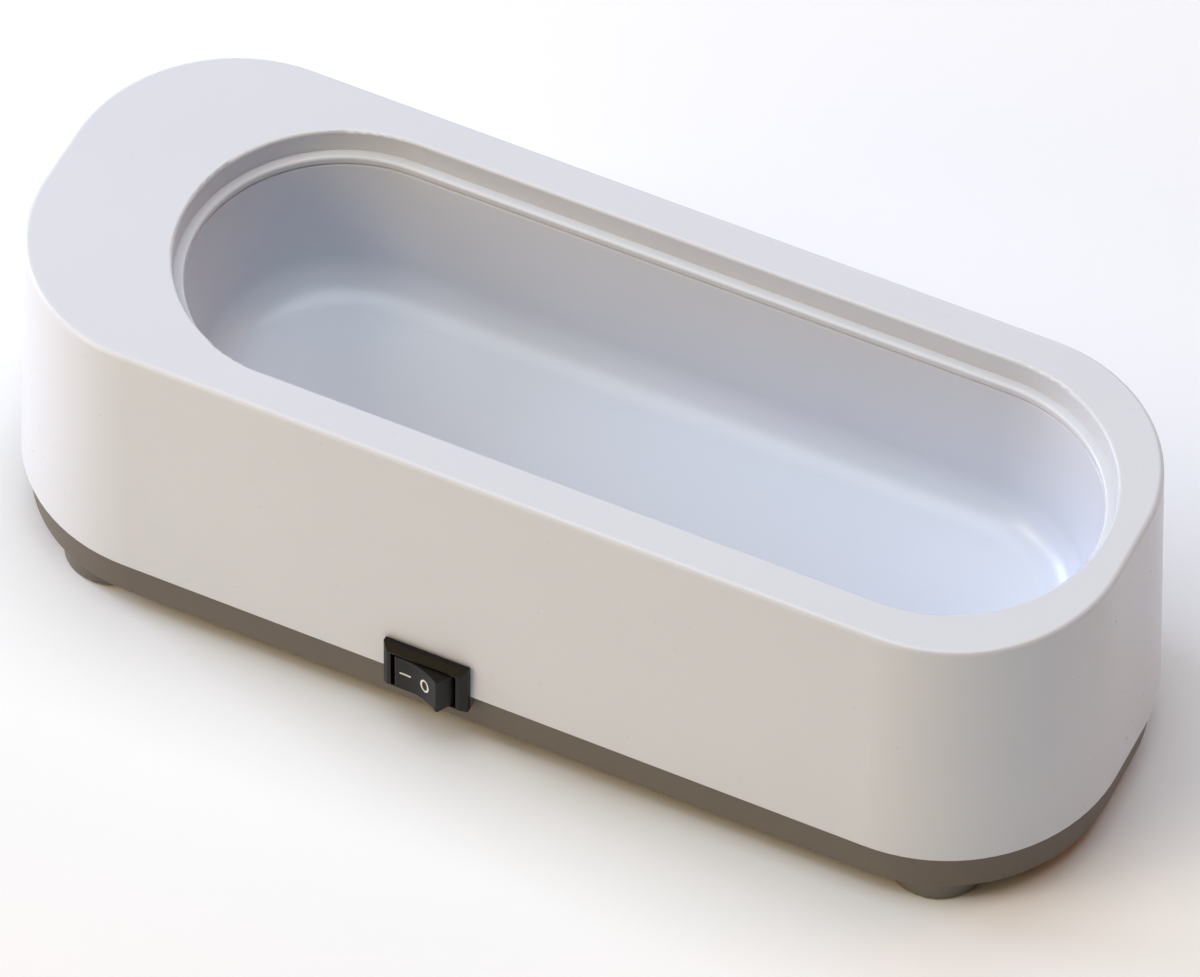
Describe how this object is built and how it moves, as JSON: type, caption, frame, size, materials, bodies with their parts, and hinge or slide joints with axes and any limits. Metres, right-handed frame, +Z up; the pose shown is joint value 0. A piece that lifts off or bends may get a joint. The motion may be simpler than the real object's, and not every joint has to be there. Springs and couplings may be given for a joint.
{
  "type": "ultrasonic cleaner",
  "caption": "Round-ended white housing with a deep oval wash basin in its top, on a grey base with feet, a rocker switch in front and a shaking motor under the basin.",
  "frame": {"origin": "middle of the whole object's footprint, on the surface it stands on; the rocker's raised edge counts in the footprint, so the housing's own middle plane is 2.2 mm behind it", "axes": "+X along the length, towards the end that the basin lies nearer to; +Y from the front, where the rocker is, to the back; +Z up"},
  "size_m": [0.2, 0.0792, 0.0647],
  "materials": {
    "white_shell": "satin moulded ABS, cool white",
    "tank_grey": "satin moulded ABS, light grey",
    "base_taupe": "matt moulded ABS, warm grey",
    "soft_foot": "dull rubber",
    "silicone": "translucent white silicone",
    "switch_black": "satin black moulded nylon",
    "steel": "zinc plated steel",
    "motor_tin": "drawn and plated steel can",
    "motor_cap": "natural white nylon",
    "bronze": "turned, dull",
    "copper": "enamelled copper, orange",
    "magnet": "sintered ferrite, dark grey",
    "contact_metal": "nickel plated",
    "cell_jacket": "printed film over a steel can, plain blue grey with a copper band",
    "wire_red": "red insulation",
    "wire_black": "black insulation"
  },
  "bodies": {
    "case": {"housing": "white_shell", "tank": "tank_grey", "tank_gasket": "silicone", "tank_screws": "steel", "base": "base_taupe", "base_screws": "steel", "foot_front_left": "soft_foot", "foot_front_right": "soft_foot", "foot_rear_left": "soft_foot", "foot_rear_right": "soft_foot", "battery_cell_1": "cell_jacket", "battery_cell_2": "cell_jacket", "battery_cell_3": "cell_jacket", "battery_cell_4": "cell_jacket", "battery_springs": "contact_metal", "battery_contacts": "contact_metal", "motor_can": "motor_tin", "motor_end_cap": "motor_cap", "motor_bushings": "bronze", "motor_magnets": "magnet", "motor_terminals": "contact_metal", "motor_pad": "soft_foot", "motor_strap": "steel", "motor_strap_screws": "steel", "switch_body": "switch_black", "switch_terminals": "contact_metal", "wire_battery_to_switch": "wire_red", "wire_switch_to_motor": "wire_red", "wire_battery_to_motor": "wire_black"},
    "rotor": {"motor_shaft": "steel", "armature_core": "steel", "armature_windings": "copper", "commutator": "copper", "eccentric_weight": "bronze"},
    "rocker": {"switch_rocker": "switch_black"},
    "plunger": {"switch_plunger": "steel", "switch_plunger_spring": "steel"},
    "contact_blade": {"switch_contact_blade": "contact_metal"},
    "door": {"battery_door": "base_taupe"}
  },
  "joints": [
    {"name": "switch_rocker_pivot", "type": "hinge", "parent": "case", "child": "rocker", "pos_m": [-0.0113, -0.03527, 0.0154], "axis": [0, 0, 1], "range_deg": [0, 28]},
    {"name": "switch_contact_blade_rock", "type": "hinge", "parent": "case", "child": "contact_blade", "pos_m": [-0.0113, -0.02952, 0.0154], "axis": [0, 0, 1], "range_deg": [-16, 0]},
    {"name": "switch_plunger_slide", "type": "slide", "parent": "rocker", "child": "plunger", "axis": [-0.2419, -0.9703, 0], "range_m": [0, 0.0003], "stiffness_N_per_m": 150},
    {"name": "motor_spin", "type": "hinge", "parent": "case", "child": "rotor", "pos_m": [-0.05, 0.00223, 0.021], "axis": [1, 0, 0], "continuous": true},
    {"name": "battery_door_swing", "type": "hinge", "parent": "case", "child": "door", "pos_m": [0.0623, 0.00223, 0.0043], "axis": [0, -1, 0], "range_deg": [0, 75]}
  ],
  "couplings": [
    {"joint": "switch_contact_blade_rock", "follows": "switch_rocker_pivot", "ratio": -0.5714}
  ]
}
